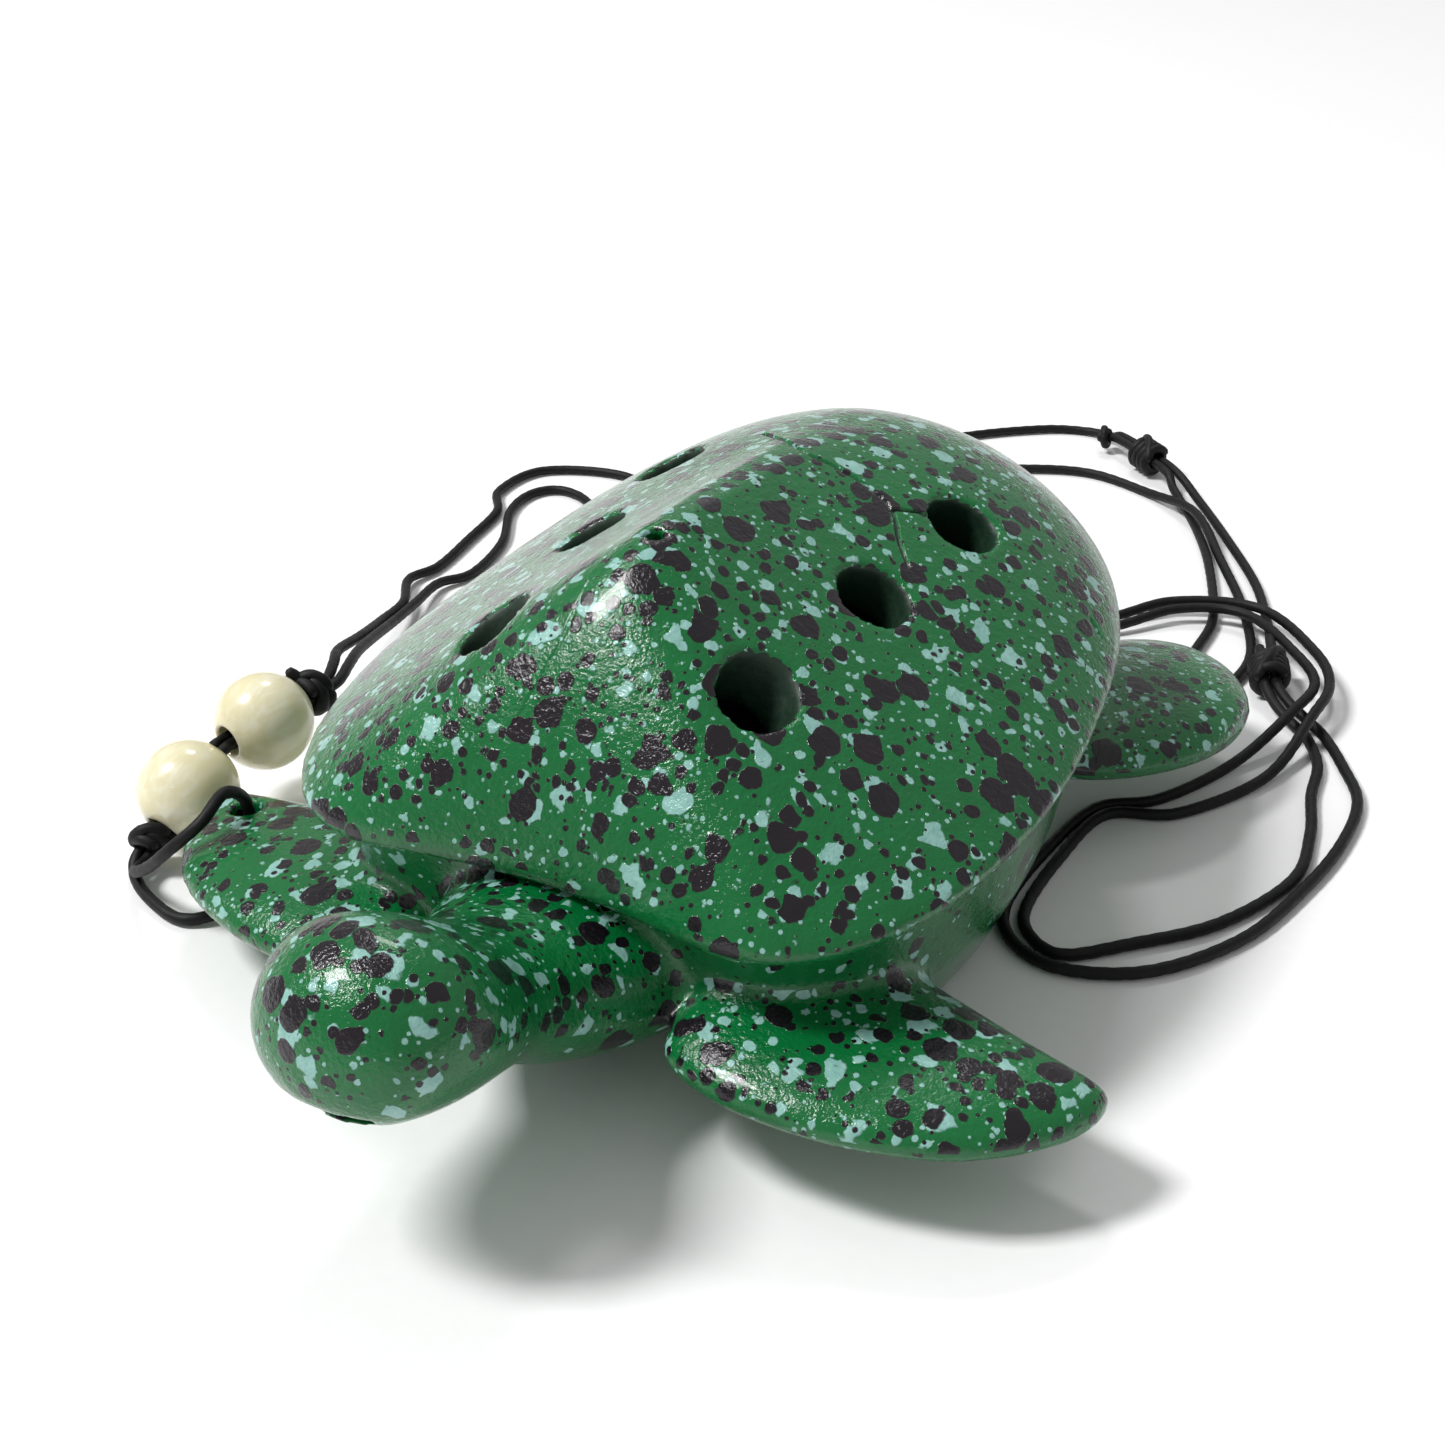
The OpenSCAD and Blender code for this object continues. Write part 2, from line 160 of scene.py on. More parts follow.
# a coarse and a fine wobble of a spot's outline, as (features per pitch, share of the wobble)
WOBBLES = ((0.9, 1), (3.2, 0.35))
SMALLEST_SPOT = 0.38


def spots(tree, where, pitch, fill, radius, edge, offset, wobble):
    """Scattered spots: a share fill of the cells pitch mm wide holds one, of up to radius mm."""
    place = where
    for features, share in WOBBLES:
        place = wobbled(tree, place, features / pitch, wobble * share, offset)
    cells = add_node(tree, "ShaderNodeTexVoronoi", {
        "Vector": moved(tree, place, offset), "Scale": 1 / pitch, "Randomness": 1.0})
    picked = add_node(tree, "ShaderNodeSeparateColor", {0: cells.outputs["Color"]})
    reach = maths(tree, "MULTIPLY_ADD", picked.outputs[1], radius * (1 - SMALLEST_SPOT) / pitch,
                  radius * SMALLEST_SPOT / pitch)
    held = maths(tree, "LESS_THAN", picked.outputs[0], fill)
    limit = maths(tree, "MULTIPLY", reach, held)
    depth = maths(tree, "SUBTRACT", limit, cells.outputs["Distance"])
    return step_up(tree, depth, 0.0, edge / pitch)


def add_bump(tree, shader, height, strength, distance):
    """Relief of up to distance mm on the shader's surface."""
    bump = add_node(tree, "ShaderNodeBump", {
        "Height": height, "Strength": strength, "Distance": distance * MM})
    tree.links.new(bump.outputs[0], shader.inputs["Normal"])


def roughness_between(tree, shader, share, low, span):
    """Roughness from low to low + span, by a share between 0 and 1."""
    tree.links.new(maths(tree, "MULTIPLY_ADD", share, span, low), shader.inputs["Roughness"])


# ---- materials ----
def layer(tree, kinds, where, cover):
    """Several kinds of spot over each other, each in its own offset of the pattern."""
    total = 0.0
    for k, (pitch, fill, radius, edge, wobble) in enumerate(kinds):
        share = maths(tree, "MULTIPLY", cover, fill)
        offset = (7.3 * k + 11 * pitch, 3.1 + 5 * k, 17.7 * pitch)
        kind = spots(tree, where, pitch, share, radius, edge, offset, wobble)
        total = maths(tree, "MAXIMUM", total, kind)
    return total


# pitch, fill, radius, edge and wobble of each kind of spot
DARK_SPOTS = [(2.9, 0.62, 1.65, 0.1, 1.4), (1.7, 0.6, 0.88, 0.1, 0.7), (0.85, 0.5, 0.33, 0.06, 0.2)]
PALE_SPOTS = [(2.7, 0.6, 1.25, 0.15, 2.6), (1.5, 0.5, 0.65, 0.1, 0.9), (0.8, 0.6, 0.28, 0.06, 0.2)]


def speckled_lacquer():
    """Green gloss lacquer with dark blots and pale aqua flecks, thickest on what faces up."""
    mat, tree, shader = new_material("speckled_lacquer")
    where = mm_coordinates(tree)
    facing = add_node(tree, "ShaderNodeSeparateXYZ", {
        0: add_node(tree, "ShaderNodeNewGeometry").outputs["Normal"]}).outputs["Z"]
    drift = noise_at(tree, where, 0.06, 2.0).outputs["Fac"]
    upward = step_up(tree, maths(tree, "MULTIPLY_ADD", drift, 0.6, facing), -0.1, 0.85)
    cover = maths(tree, "MULTIPLY_ADD", upward, 0.8, 0.2)
    cloud = noise_at(tree, where, 0.2, 3.0, 0.6).outputs["Fac"]
    green = blend_colors(tree, cloud, (0.001, 0.105, 0.022), (0.002, 0.15, 0.036))
    tone = noise_at(tree, where, 0.9, 3.0).outputs["Fac"]
    aqua = blend_colors(tree, tone, (0.13, 0.33, 0.28), (0.38, 0.64, 0.6))
    blot = blend_colors(tree, cloud, (0.002, 0.002, 0.003), (0.014, 0.008, 0.014))
    pale = layer(tree, PALE_SPOTS, where, cover)
    dark = layer(tree, DARK_SPOTS, where, cover)
    color = blend_colors(tree, maths(tree, "MULTIPLY", pale, 0.92), green, aqua)
    color = blend_colors(tree, dark, color, blot)
    tree.links.new(color, shader.inputs["Base Color"])
    peel = noise_at(tree, where, 1.1, 2.0, 0.5).outputs["Fac"]
    grit = noise_at(tree, where, 2.6, 3.0, 0.6).outputs["Fac"]
    roughness_between(tree, shader, grit, 0.05, 0.12)
    height = maths(tree, "MULTIPLY_ADD", grit, 0.9, peel)
    height = maths(tree, "MULTIPLY_ADD", maths(tree, "MAXIMUM", pale, dark), 0.5, height)
    add_bump(tree, shader, height, 0.9, 0.13)
    shader.inputs["Coat Weight"].default_value = 0.2
    shader.inputs["Coat Roughness"].default_value = 0.05
    shader.inputs["IOR"].default_value = 1.45
    return mat


def painted_bore_shade():
    """Painted shade: a dark green for the inside of the finger holes and the chamber, where shade falls.
    """
    mat, tree, shader = new_material("bore_painted_shade")
    where = mm_coordinates(tree)
    grain = noise_at(tree, where, 1.4, 3.0, 0.6).outputs["Fac"]
    color = blend_colors(tree, grain, (0.0015, 0.012, 0.005), (0.003, 0.03, 0.011))
    tree.links.new(color, shader.inputs["Base Color"])
    roughness_between(tree, shader, grain, 0.4, 0.3)
    add_bump(tree, shader, grain, 0.5, 0.1)
    return mat


def waxed_cord():
    """Black braided cord with a dull wax on it."""
    mat, tree, shader = new_material("waxed_cord")
    where = mm_coordinates(tree)
    fibres = noise_at(tree, where, 6.0, 3.0, 0.7).outputs["Fac"]
    wax = noise_at(tree, where, 0.5, 2.0).outputs["Fac"]
    color = blend_colors(tree, fibres, (0.0008, 0.0008, 0.0009), (0.004, 0.004, 0.0045))
    tree.links.new(color, shader.inputs["Base Color"])
    roughness_between(tree, shader, wax, 0.42, 0.25)
    add_bump(tree, shader, fibres, 0.5, 0.06)
    shader.inputs["IOR"].default_value = 1.35
    return mat


def ivory():
    """Cream bead with a faint grain and a worn polish."""
    mat, tree, shader = new_material("ivory_bead")
    where = mm_coordinates(tree)
    stretch = add_node(tree, "ShaderNodeVectorMath", {0: where, 1: (1.0, 0.25, 1.0)}, operation="MULTIPLY")
    grain = noise_at(tree, stretch.outputs[0], 0.9, 3.0, 0.5, 0.6).outputs["Fac"]
    tint = noise_at(tree, where, 0.14, 2.0).outputs["Fac"]
    warm = blend_colors(tree, step_up(tree, grain, 0.35, 0.7), (0.76, 0.7, 0.46), (0.83, 0.8, 0.62))
    color = blend_colors(tree, step_up(tree, tint, 0.4, 0.65), warm, (0.72, 0.66, 0.4))
    tree.links.new(color, shader.inputs["Base Color"])
    roughness_between(tree, shader, grain, 0.16, 0.12)
    add_bump(tree, shader, grain, 0.12, 0.05)
    shader.inputs["Subsurface Weight"].default_value = 0.15
    shader.inputs["Subsurface Radius"].default_value = (1.0 * MM, 0.7 * MM, 0.4 * MM)
    shader.inputs["Coat Weight"].default_value = 0.5
    shader.inputs["Coat Roughness"].default_value = 0.05
    return mat


def paper():
    """The white table under the ocarina."""
    mat, tree, shader = new_material("white_table")
    where = mm_coordinates(tree)
    tooth = noise_at(tree, where, 0.6, 3.0).outputs["Fac"]
    color = blend_colors(tree, tooth, (0.88, 0.88, 0.88), (0.92, 0.92, 0.92))
    tree.links.new(color, shader.inputs["Base Color"])
    shader.inputs["Roughness"].default_value = 0.7
    return mat


CORD = waxed_cord()


# ---- mesh helpers ----
def add_object(name, points, faces, mat, smooth=True):
    """An object from points in metres and faces."""
    mesh = bpy.data.meshes.new(name)
    mesh.from_pydata([tuple(p) for p in points], [], faces)
    mesh.validate()
    mesh.update()
    if smooth:
        mesh.shade_smooth()
    if mat:
        mesh.materials.append(mat)
    obj = bpy.data.objects.new(name, mesh)
    scene.collection.objects.link(obj)
    return obj


def ring_faces(rings, sides):
    """Quads between rings of the same number of points."""
    faces = []
    for first in range(0, (rings - 1) * sides, sides):
        for j in range(sides):
            after = (j + 1) % sides
            faces.append((first + j, first + after, first + sides + after, first + sides + j))
    return faces


def spline_point(a, b, c, d, t):
    """The point a share t of the way from b to c, on a curve that also heeds a and d."""
    return 0.5 * (2 * b + (c - a) * t + (2 * a - 5 * b + 4 * c - d) * t ** 2
                  + (3 * b - a - 3 * c + d) * t ** 3)


def open_curve(points, sub):
    """A smooth line through points, with sub steps between each two."""
    p = np.array(points, float)
    n = len(p)
    out = [spline_point(p[max(i - 1, 0)], p[i], p[i + 1], p[min(i + 2, n - 1)], k / sub)
           for i in range(n - 1) for k in range(sub)]
    return np.array(out + [p[-1]])


def closed_curve(points, sub):
    """The same, back to the first point and without repeating it."""
    p = np.array(points, float)
    n = len(p)
    return np.array([spline_point(p[i - 1], p[i], p[(i + 1) % n], p[(i + 2) % n], k / sub)
                     for i in range(n) for k in range(sub)])


def evenly(points, step):
    """The same line with a point every step."""
    p = np.array(points, float)
    run = np.concatenate([[0], np.cumsum(np.linalg.norm(np.diff(p, axis=0), axis=1))])
    count = max(int(round(run[-1] / step)), 2)
    at = np.linspace(0, run[-1], count + 1)
    return np.column_stack([np.interp(at, run, p[:, k]) for k in range(3)])


def unit(v):
    """A vector's direction."""
    v = np.array(v, float)
    return v / np.linalg.norm(v)


def length_of(points):
    """The length of a line through points."""
    return float(np.linalg.norm(np.diff(points, axis=0), axis=1).sum())


# ---- cord ----
CORD_D = 1.2
BRAID_PITCH, BRAID_STRANDS, BRAID_SHIFT, BRAID_RELIEF = 1.9, 3, 2.1, 0.07
CORD_STEP, CORD_SIDES = 0.3, 14
CORD_TAPER, BLUNT_END = 0.2, 0.02


def braided_tube(name, points, taper, d=CORD_D):
    """A cord along points, with its crossed strands raised and its ends rounded over taper mm."""
    p = evenly(points, CORD_STEP)
    n = len(p)
    run = np.arange(n) * (length_of(p) / (n - 1))
    t = np.gradient(p, axis=0)
    t /= np.linalg.norm(t, axis=1)[:, None]
    side = np.cross(t[0], (0.1, 0.05, 1))
    rings = []
    for i in range(n):
        side = unit(side - t[i] * side.dot(t[i]))
        other = np.cross(t[i], side)
        end = min(run[i], run[-1] - run[i])
        close = math.sqrt(min(1, (end + BLUNT_END) / taper))
        for j in range(CORD_SIDES):
            a = 2 * math.pi * j / CORD_SIDES
            phase = 2 * math.pi * run[i] / BRAID_PITCH
            weave = max(math.cos(BRAID_STRANDS * a + phase),
                        math.cos(BRAID_STRANDS * a - phase + BRAID_SHIFT))
            r = d / 2 * close * (1 - BRAID_RELIEF * (1 - weave) * 0.5)
            rings.append(p[i] + r * (side * math.cos(a) + other * math.sin(a)))
    faces = ring_faces(n, CORD_SIDES)
    faces.append(tuple(reversed(range(CORD_SIDES))))
    faces.append(tuple((n - 1) * CORD_SIDES + j for j in range(CORD_SIDES)))
    return add_object(name, np.array(rings) * MM, faces, CORD), p


# ---- beads, cords and their places, as part.scad has them ----
BEAD_D, BEAD_BORE, BEAD_EDGE = 10, 3.2, 0.3
LOW_BEAD = np.array([-50.7, -15.5, 6.2])
LOW_AXIS = unit([0.05, 0.85, 0.52])
UP_BEAD = np.array([-50, -4.6, 9])
UP_AXIS = unit([0.22, 0.97, 0.12])
BEAD_FLAT = math.sqrt((BEAD_D / 2) ** 2 - (BEAD_BORE / 2 + BEAD_EDGE) ** 2)
KNOT_OFFSET = BEAD_FLAT + 1.5
STRAND_GAP = 1.34


def beside(points, side):
    """The strands of a doubled stretch, each moved sideways from the middle."""
    p = np.array(points)
    out = []
    for i in range(len(p)):
        t = unit(p[min(i + 1, len(p) - 1)] - p[max(i - 1, 0)])
        out.append(p[i] + unit(np.cross(t, (0, 0, 1))) * side * STRAND_GAP / 2)
    return out


DOUBLED = [UP_BEAD + UP_AXIS * 6.3, UP_BEAD + UP_AXIS * 4.5, UP_BEAD, UP_BEAD - UP_AXIS * 4.5,
           LOW_BEAD + LOW_AXIS * 4.5, LOW_BEAD, LOW_BEAD - LOW_AXIS * 4.5, LOW_BEAD - LOW_AXIS * 8]
FLIPPER_LOOP = [[-50.6, -24, 1], [-47, -26, 0.7], [-42, -27.2, 0.7], [-39.2, -24.6, 1.1],
                [-39.4, -20.8, 2.8], [-39.5, -19.4, 6], [-39.5, -19.5, 10.2], [-39.2, -22.4, 12.6],
                [-39, -26, 11.4], [-41.4, -28, 8.8], [-45.2, -27.2, 5.4], [-49.2, -25.2, 2.6]]
PENDANT_ROUTE = beside(DOUBLED, 1) + FLIPPER_LOOP + beside(DOUBLED, -1)[::-1]

# middle of the neck cord's two strands and the gap between them
NECK = [[-48.6, 1.7, 9.8, 1.34], [-48.4, 4.4, 10, 1.34], [-50.2, 8.2, 9.9, 1.7],
        [-53, 12.8, 8.8, 2.2], [-56.6, 20.4, 6.4, 1.6], [-61, 29.5, 3.5, 1.5],
        [-63.9, 37.5, 2, 1.5], [-67.4, 45, 1.1, 4], [-66.6, 50.6, 0.7, 5], [-68.6, 60, 0.7, 4.6],
        [-72.2, 69.4, 0.7, 1.8], [-74.8, 75.6, 0.7, 4.4], [-73.4, 82, 0.7, 7.4],
        [-66, 84, 0.7, 9.4], [-56, 79, 0.7, 9], [-34, 72, 0.7, 4], [-8, 70.5, 0.7, 2],
        [9, 74, 0.9, 2.6], [17, 82.4, 1.9, 2.2], [26, 84.4, 2.3, 2.6], [34.6, 75.6, 2.8, 2.4],
        [38.7, 68, 3, 1.6], [38.7, 59.5, 3, 2.2], [36.6, 49, 0.9, 4], [31.6, 38, 0.7, 3.2],
        [25.8, 33.4, 0.7, 1.5], [24.6, 23, 0.7, 1.7], [25, 13, 0.7, 1.9], [27.4, 8.2, 0.7, 1.9],
        [32, 6.4, 0.7, 2.2], [38, 10.4, 0.7, 4.4], [44, 18.8, 0.7, 3], [47.2, 30, 0.7, 1.5],
        [47.2, 39.4, 0.7, 3.2], [45.8, 47.6, 0.7, 4.6], [43.6, 54.2, 0.7, 2.6],
        [40.6, 59.6, 0.7, 2]]
NEAR_RUN = [np.array([34.3, 66, 2.55]), np.array([30.4, 76.6, 2.55])]
FAR_RUN = [np.array([2.6, 124.2, 2.55]), np.array([-7.2, 132.6, 2.55])]


def strand(side):
    """One strand of the neck cord, on the right of the middle for 1 and the left for -1."""
    out = []
    for i, (x, y, z, gap) in enumerate(NECK):
        a, b = NECK[max(i - 1, 0)], NECK[min(i + 1, len(NECK) - 1)]
        t = unit([b[0] - a[0], b[1] - a[1]])
        out.append([x + t[1] * side * gap / 2, y - t[0] * side * gap / 2, z])
    return out


def left_of(run, u, gap):
    """A point beside a straight stretch, a share u of the way along it."""
    t = unit(run[1] - run[0])
    return run[0] + (run[1] - run[0]) * u + np.array([-t[1], t[0], 0]) * gap


SHORT_ROUTE = strand(-1) + [[37.4, 61.2, 1], [34.9, 63.2, 1.8], left_of(NEAR_RUN, 0, STRAND_GAP),
                            left_of(NEAR_RUN, 0.3, STRAND_GAP), left_of(NEAR_RUN, 0.86, STRAND_GAP)]
LONG_ROUTE = strand(1) + [
    [39, 62.4, 1], [36.5, 63.8, 1.8], NEAR_RUN[0], left_of(NEAR_RUN, 0.3, 0), NEAR_RUN[1],
    [28.4, 83.6, 0.8], [23.3, 95.4, 0.7], [16, 107.4, 0.7], [8.6, 118.4, 0.8], *FAR_RUN,
    [-10.2, 135.6, 1.3], [-14.5, 137.4, 0.7], [-20.5, 135.2, 0.7], [-29, 127.4, 0.7], [-36, 117, 0.7],
    [-36.4, 108, 0.7], [-31, 105.4, 0.7], [-24.6, 112.8, 0.7], [-16.5, 119, 0.7], [-8, 121.6, 0.7],
    [1.6, 118.2, 0.8], [8.6, 112.6, 2.2], [12.6, 107.6, 2.2], [16.6, 101.6, 0.8], [23.4, 89, 0.7],
    [28.2, 77, 0.7], [28.8, 69, 0.7], [27.3, 65.4, 0.7], [24.2, 64.9, 0.7], [22.4, 68, 0.7],
    [22.4, 75, 0.7], [21.4, 84, 0.7], [16.2, 98.6, 0.7], [10.7, 110, 0.7], [4.4, 119.8, 1.3],
    left_of(FAR_RUN, 0, STRAND_GAP), left_of(FAR_RUN, 1, STRAND_GAP), [-11.4, 132.6, 1.8]]


# ---- knots ----
COIL_STEPS, COIL_START, COIL_LEAN = 28, 20, 0.25
KNOT_CORD_D, KNOT_TAPER, TIP_TAPER = 1.35, 0.5, 0.25
# the crossing turn's way over a knot, as (share of the knot's span, angle from its top)
CROSSING = ((-0.62, -1.5), (-0.45, -0.8), (-0.1, -0.15), (0.3, 0.3), (0.6, 0.9), (0.66, 1.5))
CROSSING_SIDE, CROSSING_LIFT, CROSSING_D = 0.9, 0.45, 0.95


def knot_axes(axis):
    """The knot's own directions: along it, to its side and to its top."""
    axis = unit(axis)
    side = unit(np.cross(axis, (0, 0, 1)))
    return axis, side, np.cross(side, axis)


def around(centre, axis, radius, turns, span):
    """Points of a coil about axis: turns of it over a length span, leaning to one side."""
    axis, side, top = knot_axes(axis)
    out = []
    count = int(COIL_STEPS * turns) + 1
    for i in range(count):
        u = i / (count - 1)
        a = math.radians(COIL_START) + 2 * math.pi * turns * u
        along = (u - 0.5) * span + COIL_LEAN * math.cos(a)
        out.append(centre + axis * along + radius * (side * math.cos(a) + top * math.sin(a)))
    return out


def join_pieces(name, parts):
    """One object from several, as one piece with separate solids."""
    with bpy.context.temp_override(active_object=parts[0], selected_editable_objects=parts):
        bpy.ops.object.join()
    parts[0].name = name
    return parts[0]


def tied_knot(name, centre, axis, wraps, radius, span, tip=(), d=KNOT_CORD_D):
    """A knot tied of cord: coils pulled tight round the strands, a crossing turn and a cut tip."""
    parts = [braided_tube(name, around(centre, axis, radius, wraps, span), KNOT_TAPER, d)[0]]
    axis, side, top = knot_axes(axis)
    over = [centre + axis * span * u + side * radius * CROSSING_SIDE * math.sin(a)
            + top * (radius + CROSSING_LIFT) * math.cos(a) for u, a in CROSSING]
    parts.append(braided_tube(name + "_over", open_curve(over, 10), KNOT_TAPER, d * CROSSING_D)[0])
    if tip:
        path = open_curve([centre + np.array(q) for q in tip], 8)
        parts.append(braided_tube(name + "_tip", path, TIP_TAPER)[0])
    return join_pieces(name, parts)


UPPER_TIP = [(-0.4, -0.6, 1.2), (-1.0, -0.9, 2.2), (-1.9, -1.4, 2.8)]
NEAR_KNOT_AT, FAR_KNOT_AT, TAIL_KNOT_BACK = 0.3, 0.43, 1.4


def add_knots():
    """The five knots by the name of the node that each stands for."""
    low = LOW_BEAD - LOW_AXIS * KNOT_OFFSET
    up = UP_BEAD + UP_AXIS * KNOT_OFFSET
    near = left_of(NEAR_RUN, NEAR_KNOT_AT, STRAND_GAP / 2)
    far = left_of(FAR_RUN, FAR_KNOT_AT, STRAND_GAP / 2)
    end = np.array(LONG_ROUTE[-1])
    way = unit(end - LONG_ROUTE[-2])
    tail = end - way * TAIL_KNOT_BACK
    knots = {
        "lower_stopper_knot": tied_knot("lower_stopper_knot_tied", low, LOW_AXIS, 2, 1.55, 1.6),
        "upper_stopper_knot": tied_knot("upper_stopper_knot_tied", up, UP_AXIS, 2, 1.75, 1.8, UPPER_TIP),
        "sliding_knot_near": tied_knot("near_knot_tied", near, NEAR_RUN[1] - NEAR_RUN[0], 4, 1.7, 4.4),
        "sliding_knot_far": tied_knot("far_knot_tied", far, FAR_RUN[1] - FAR_RUN[0], 4, 1.7, 4.4),
        "tail_end_knot": tied_knot("tail_end_knot_tied", tail, way, 1.5, 0.95, 0.9, d=1.15)}
    rides = {"sliding_knot_near": "near_slider", "sliding_knot_far": "far_slider"}
    for node, knot in knots.items():
        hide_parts(node)
        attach(knot, rides.get(node, "turtle"))
    return knots


def add_cord(name, node, route):
    """A cord laid along part.scad's route, and the points in metres that it follows."""
    obj, points = braided_tube(name, open_curve(route, 10), CORD_TAPER)
    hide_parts(node)
    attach(obj, "turtle")
    return obj, points * MM


BEAD_SIDES, BEAD_STEPS, EDGE_STEPS = 96, 49, 6


def bead_profile():
    """The bead's half section as (radius, height), down its outside and back up its hole."""
    r, bore = BEAD_D / 2, BEAD_BORE / 2
    tilt = math.asin((bore + BEAD_EDGE) / r)
    flat = r * math.cos(tilt)
    ball = [(r * math.sin(a), r * math.cos(a)) for a in np.linspace(tilt, math.pi - tilt, BEAD_STEPS)]
    rounding = [(bore + BEAD_EDGE * (1 - math.sin(a)), flat - BEAD_EDGE * (1 - math.cos(a)))
                for a in np.linspace(0, math.pi / 2, EDGE_STEPS)]
    hole = rounding + [(x, -z) for x, z in reversed(rounding)]
    return ball + hole[::-1][1:-1]


def bead(name, node, body, centre, axis, mat):
    """A turned bead with a rounded edge round its hole."""
    profile = bead_profile()
    turn = Vector(axis).to_track_quat("Z", "Y").to_matrix()
    points = []
    for x, z in profile:
        for j in range(BEAD_SIDES):
            a = 2 * math.pi * j / BEAD_SIDES
            points.append(turn @ Vector((x * math.cos(a), x * math.sin(a), z)) * MM + Vector(centre) * MM)
    faces = ring_faces(len(profile), BEAD_SIDES)
    last = (len(profile) - 1) * BEAD_SIDES
    faces += [(last + j, last + (j + 1) % BEAD_SIDES, (j + 1) % BEAD_SIDES, j) for j in range(BEAD_SIDES)]
    obj = add_object(name, points, faces, mat)
    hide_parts(node)
    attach(obj, body)
    return obj


knots = add_knots()
pendant_cord = add_cord("pendant_cord_braid", "pendant_cord", PENDANT_ROUTE)
short_cord = add_cord("short_neck_cord_braid", "neck_cord_short", SHORT_ROUTE)
long_cord = add_cord("long_neck_cord_braid", "neck_cord_long", LONG_ROUTE)
IVORY = ivory()
lower_bead = bead("lower_bead_turned", "bead_lower", "lower_bead", LOW_BEAD, LOW_AXIS, IVORY)
upper_bead = bead("upper_bead_turned", "bead_upper", "upper_bead", UP_BEAD, UP_AXIS, IVORY)


# ---- carved wood: the shell and the body, from part.scad's own formulas with finer steps ----
SHELL_W, SHELL_L = 66, 78.5
# the width and length that RIM_HALF is drawn at
DRAWN_W, DRAWN_L = 66, 78.5
RIDGE_Z = (42.6, 42.5, 40)
RIDGE_Y = (-10.5, 25.5)
RIM_Z, RIM_SLOPE, LIP_H = 22.2, 0.1, 1.2
CROWN_WALL, CHAMBER_S, BODY_Y, RIM_MID_Y = 6, 0.8, 8, 9.5
RIM_HALF = [[0, -29], [8, -29.5], [15, -30.5], [21.5, -30], [27, -25.5], [31, -17], [33, -4.5],
            [32.2, 9.5], [29, 24.5], [22.5, 37], [12, 45.5], [0, 48]]
FINGERS = [[12.6, -15.6, -14], [13.2, 2.2, 0], [13.8, 18.5, 6]]
FINGER_D, FINGER_TILT = 6.8, 30
RIDGE_HOLE_D, RIDGE_HOLE_Y = 1.8, -8.6
HEAD = [[-20, 10, 13.5, 7.8], [-28, 10.4, 11.6, 7.4], [-35, 12.2, 9, 6.6], [-40, 15, 8.2, 6.2],
        [-44, 17.2, 9, 6.9], [-49, 19, 9.6, 7.6], [-53, 19.2, 8.7, 6.8], [-55.8, 18.8, 6.8, 5.2],
        [-57.3, 18.4, 4, 3], [-57.9, 18.2, 1.2, 0.9]]
FRONT = [[14, -22], [12.5, -31], [18, -34.6], [26, -35.2], [33, -33.9], [38, -31.8], [42, -28.4],
         [45, -24], [46, -19.6], [43, -18.4], [38, -17], [32, -15], [25, -13], [19, -14.5]]
REAR = [[17, 36], [18, 27], [23.5, 24.8], [29.5, 28], [34.5, 34.5], [36.6, 42], [35.6, 49.5],
        [31, 55.5], [25, 57.3], [19, 53.5], [16, 44]]
FLIPPER_PIVOT, RIGHT_SWEEP, RIGHT_DROP = (22, -22), 9, 1
MOUTH, WINDOW = np.array([-58, 14.4]), np.array([-20, 6])
WINDWAY_W, WINDWAY_H = 8, 1.4
CORD_HOLE, CORD_HOLE_D = (-39.5, -19.4), 3
RIDGE_LEAN, DEEP_CUT, SHORT_CUT = 18, 30, 20
ROD_SIDES, HEAD_SIDES, FLIPPER_RINGS, FLIPPER_END = 64, 72, 41, 87
# the body's wood from its top down and the chamber in it, as (scale of the rim, height)
BODY_RINGS = ((0.9, 14), (0.87, 9), (0.8, 4), (0.755, 1.3), (0.72, 0.3), (0.69, 0))
BODY_TOP = 0.935
CHAMBER_RINGS = ((0.9, 32), (0.7, 11), (0.6, 6))
# the sound window's cutter from the side, as (y, z)
WINDOW_SIDE = ((-20, -1), (-20, 8), (-14.5, 8), (-14.5, 6), (-7, -1))
# passes of smoothing: they set how round the edges of the wood are
SHELL_PASSES, BLOCK_PASSES, BODY_PASSES, BLOCK_COARSER = 6, 8, 3, 1.6
SCRATCH_CUT, CRACK_CUT = (0.2, 0.08), (0.26, 0.4)

# the shell's rim, and how far round it each point is: 0 at the front and 1 at the rear
rim = closed_curve(RIM_HALF + [[-x, y] for x, y in RIM_HALF[-2:0:-1]], 10)
rim = np.column_stack([rim[:, 0] * SHELL_W / DRAWN_W,
                       RIM_MID_Y + (rim[:, 1] - RIM_MID_Y) * SHELL_L / DRAWN_L])
round_the_rim = np.minimum(np.arange(len(rim)), len(rim) - np.arange(len(rim))) / (len(rim) / 2)


def plane_z(y):
    """The height of the seam plane, which climbs towards the rear."""
    return RIM_Z + RIM_SLOPE * y


